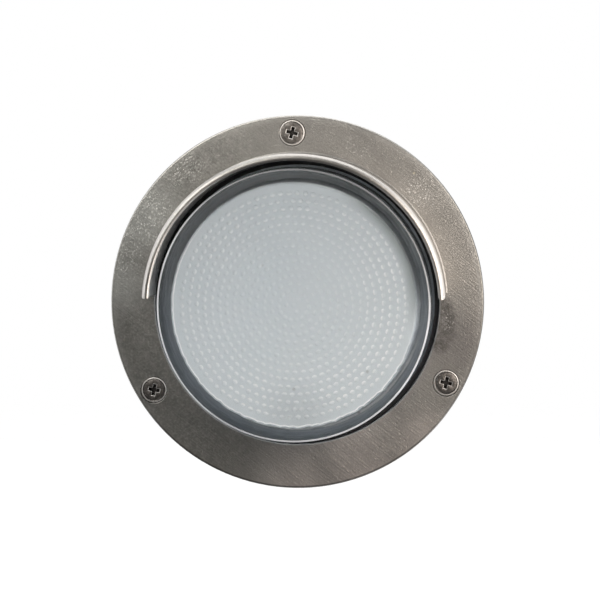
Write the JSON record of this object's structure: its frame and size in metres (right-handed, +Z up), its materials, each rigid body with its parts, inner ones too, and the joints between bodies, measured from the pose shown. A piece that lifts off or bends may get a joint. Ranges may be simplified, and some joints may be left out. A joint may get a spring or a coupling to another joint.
{
  "type": "recessed outdoor wall light",
  "caption": "Round recessed wall light: a steel trim ring with a half-round hood over a frosted, dimpled glass cup, a cast housing behind with a cable gland, and a twist-lock lamp inside.",
  "frame": {"origin": "on the light's axis, in the plane of the wall face that the foam gasket rests on", "axes": "+Y into the wall along the light's axis, so the hood and glass face -Y; +Z up, with the hood above; +X to the right seen from the front"},
  "size_m": [0.14, 0.1038, 0.14],
  "materials": {
    "stainless": "satin cast stainless steel, faintly brushed",
    "screw_steel": "stainless countersunk screws",
    "lens_glass": "pressed glass, frosted and dimpled on its inner face",
    "gasket_rubber": "black silicone",
    "foam_rubber": "closed-cell foam",
    "cast_aluminium": "die-cast, bare",
    "white_enamel": "white powder-coated sheet",
    "holder_plastic": "moulded heat-resistant plastic",
    "lamp_plastic": "white moulded plastic",
    "opal_plastic": "opal diffuser",
    "board": "white-faced aluminium board",
    "chip": "phosphor chips",
    "pin_metal": "nickel-plated brass pins",
    "brass": "bare brass",
    "zinc_steel": "zinc-plated steel",
    "tinned": "tin-plated ring terminal",
    "block_plastic": "natural moulded strip",
    "earth_green": "green-marked earth screw",
    "brown_sleeve": "silicone insulation",
    "blue_sleeve": "silicone insulation",
    "green_sleeve": "green and yellow insulation",
    "gland_nylon": "black nylon"
  },
  "bodies": {
    "fitting": {"trim_ring": "stainless", "cover_screws": "screw_steel", "lens": "lens_glass", "lens_gasket": "gasket_rubber", "wall_gasket": "foam_rubber", "housing": "cast_aluminium", "fixing_washers": "gasket_rubber", "gear_tray": "white_enamel", "tray_screws": "zinc_steel", "lampholder_face": "holder_plastic", "lampholder_back": "holder_plastic", "lampholder_contacts": "brass", "lampholder_screws": "zinc_steel", "lampholder_nuts": "zinc_steel", "terminal_block": "block_plastic", "terminal_inserts": "brass", "terminal_screws": "zinc_steel", "block_screws": "zinc_steel", "earth_lug": "tinned", "earth_washer": "zinc_steel", "earth_screw": "earth_green", "live_lead": "brown_sleeve", "neutral_lead": "blue_sleeve", "earth_lead": "green_sleeve", "gland_body": "gland_nylon", "gland_washer": "gasket_rubber", "gland_locknut": "gland_nylon", "gland_seal": "gasket_rubber", "gland_nut": "gland_nylon"},
    "lamp": {"lamp_housing": "lamp_plastic", "lamp_board": "board", "lamp_chips": "chip", "lamp_diffuser": "opal_plastic", "lamp_pins": "pin_metal"}
  },
  "joints": [
    {"name": "lamp_twist", "type": "hinge", "parent": "fitting", "child": "lamp", "pos_m": [0, 0.002, 0], "axis": [0, -1, 0], "range_deg": [0, 15]}
  ]
}
